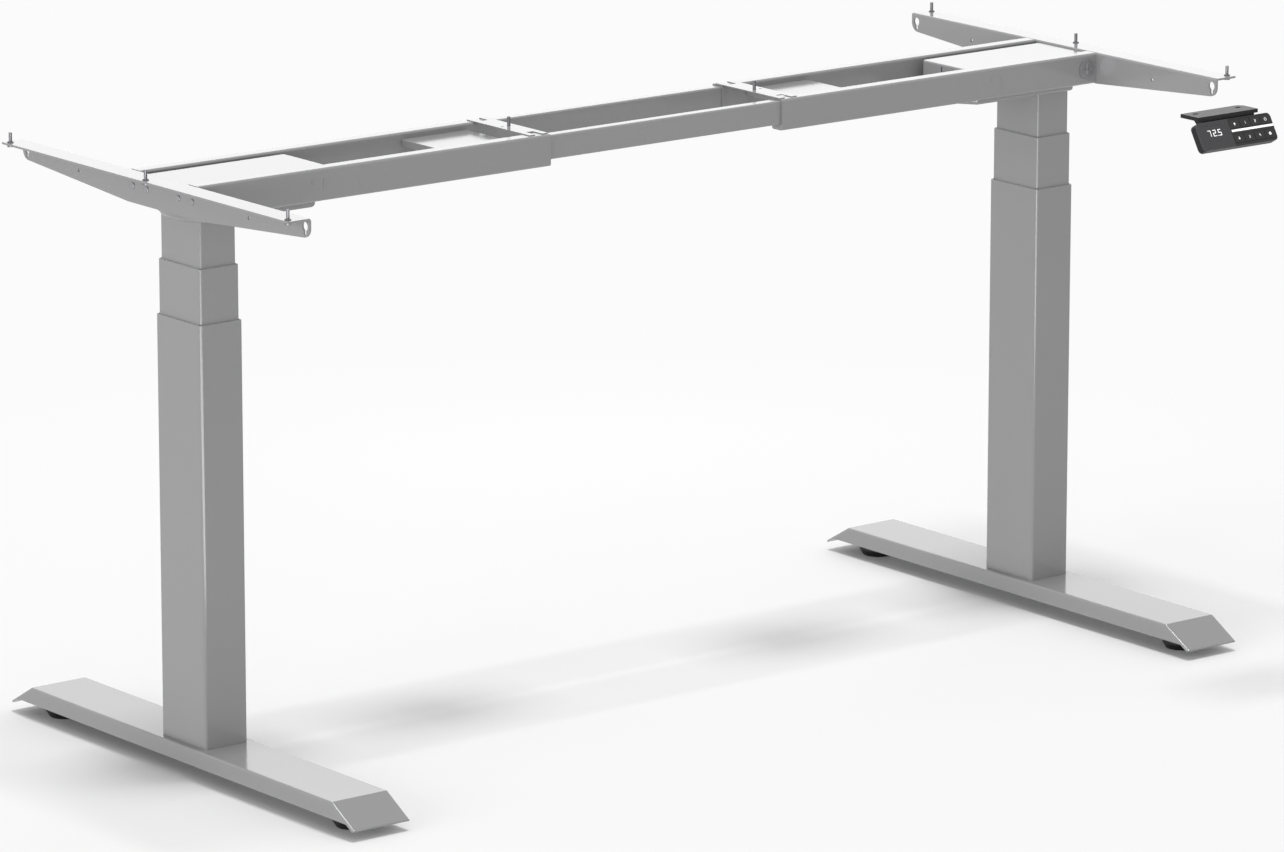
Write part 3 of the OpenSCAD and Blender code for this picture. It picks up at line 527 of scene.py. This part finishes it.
# The floor is lit as far as NEAR_FLOOR from the middle, and plain from FAR_FLOOR on
NEAR_FLOOR = 1.0
FAR_FLOOR = 1.9
ROOM_LIGHT = 0.58
DESK_MIDDLE = (0, 0, -0.3)


def make_floor():
    """A pale sweep: lit where the desk stands, and the plain background colour further out."""
    z = cad_bounds[0][2]
    mesh = bpy.data.meshes.new("floor")
    corners = [(x * FLOOR_HALF, y * FLOOR_HALF, z)
               for x, y in ((-1, -1), (1, -1), (1, 1), (-1, 1))]
    mesh.from_pydata(corners, [], [(0, 1, 2, 3)])
    floor = bpy.data.objects.new("floor", mesh)
    bpy.context.scene.collection.objects.link(floor)
    m = new_material("pale_floor")
    place = add(m, "ShaderNodeTexCoord")
    flat = add(m, "ShaderNodeVectorMath", [(0, place, "Object")], operation="MULTIPLY")
    flat.inputs[1].default_value = (1, 1, 0)
    reach = add(m, "ShaderNodeVectorMath", [(0, flat, "Vector")], operation="LENGTH")
    fade = add(m, "ShaderNodeMapRange", [("Value", reach, "Value")],
               interpolation_type="SMOOTHSTEP", From_Min=NEAR_FLOOR, From_Max=FAR_FLOOR)
    lit = add(m, "ShaderNodeBsdfDiffuse", Color=linear(FLOOR_COLOUR))
    plain = add(m, "ShaderNodeEmission", Color=linear(BACKGROUND))
    ray = add(m, "ShaderNodeLightPath")
    shown = add(m, "ShaderNodeMath", [(0, ray, "Is Camera Ray"), (1, ray, "Is Glossy Ray")],
                operation="MAXIMUM")
    seen = add(m, "ShaderNodeMath", [(0, shown, "Value"), (1, fade, "Result")],
               operation="MULTIPLY")
    mix = add(m, "ShaderNodeMixShader",
              [("Fac", seen, "Value"), (1, lit, "BSDF"), (2, plain, "Emission")])
    add(m, "ShaderNodeOutputMaterial", [("Surface", mix, "Shader")])
    mesh.materials.append(m)


def make_world():
    world = bpy.data.worlds.new("studio")
    bpy.context.scene.world = world
    world.use_nodes = True
    world.node_tree.nodes.clear()
    ray = add(world, "ShaderNodeLightPath")
    seen = add(world, "ShaderNodeMath", [(0, ray, "Is Camera Ray"), (1, ray, "Is Glossy Ray")],
               operation="MAXIMUM")
    around = add(world, "ShaderNodeBackground", Color=linear("#FFFFFF"), Strength=ROOM_LIGHT)
    shown = add(world, "ShaderNodeBackground", Color=linear(BACKGROUND), Strength=1.0)
    mix = add(world, "ShaderNodeMixShader",
              [("Fac", seen, "Value"), (1, around, "Background"), (2, shown, "Background")])
    add(world, "ShaderNodeOutputWorld", [("Surface", mix, "Shader")])


def area_lamp(name, place, size, power, towards=DESK_MIDDLE, mirrored_only=False):
    """A lamp unseen by the camera; mirrored_only keeps its light off rough surfaces."""
    data = bpy.data.lights.new(name, "AREA")
    data.shape = "RECTANGLE"
    data.size, data.size_y = size
    data.energy = power
    lamp = bpy.data.objects.new(name, data)
    bpy.context.scene.collection.objects.link(lamp)
    lamp.location = place
    lamp.rotation_euler = (Vector(towards) - Vector(place)).to_track_quat("-Z", "Y").to_euler()
    lamp.visible_camera = False
    lamp.visible_diffuse = not mirrored_only


def make_lamps():
    area_lamp("overhead", (0, -0.3, 6.0), (1.6, 1.0), 205, (0, 0, 0))
    area_lamp("left_fill", (-14.0, -1.0, 1.8), (14.0, 7.0), 920)
    area_lamp("window", (-7.2, -9.2, 0.4), (3.0, 2.2), 150)
    area_lamp("back_card", (1.9, 2.4, 0.95), (3.6, 1.1), 14, (0, 0, 0.95))
    area_lamp("low_card", (1.9, 2.4, 0.0), (3.6, 0.8), 7, (0, 0, 0))
    # Low on the floor: it shows only as the fine light line on the columns' front edges
    area_lamp("edge_card", (-1.7, -1.5, -0.7), (3.0, 1.4), 90, (-1.7, -1.5, 5.0), True)


make_camera()
dress_frame()
round_frame()
dress_handset()
make_floor()
make_world()
make_lamps()
bpy.context.scene.view_settings.view_transform = "Standard"
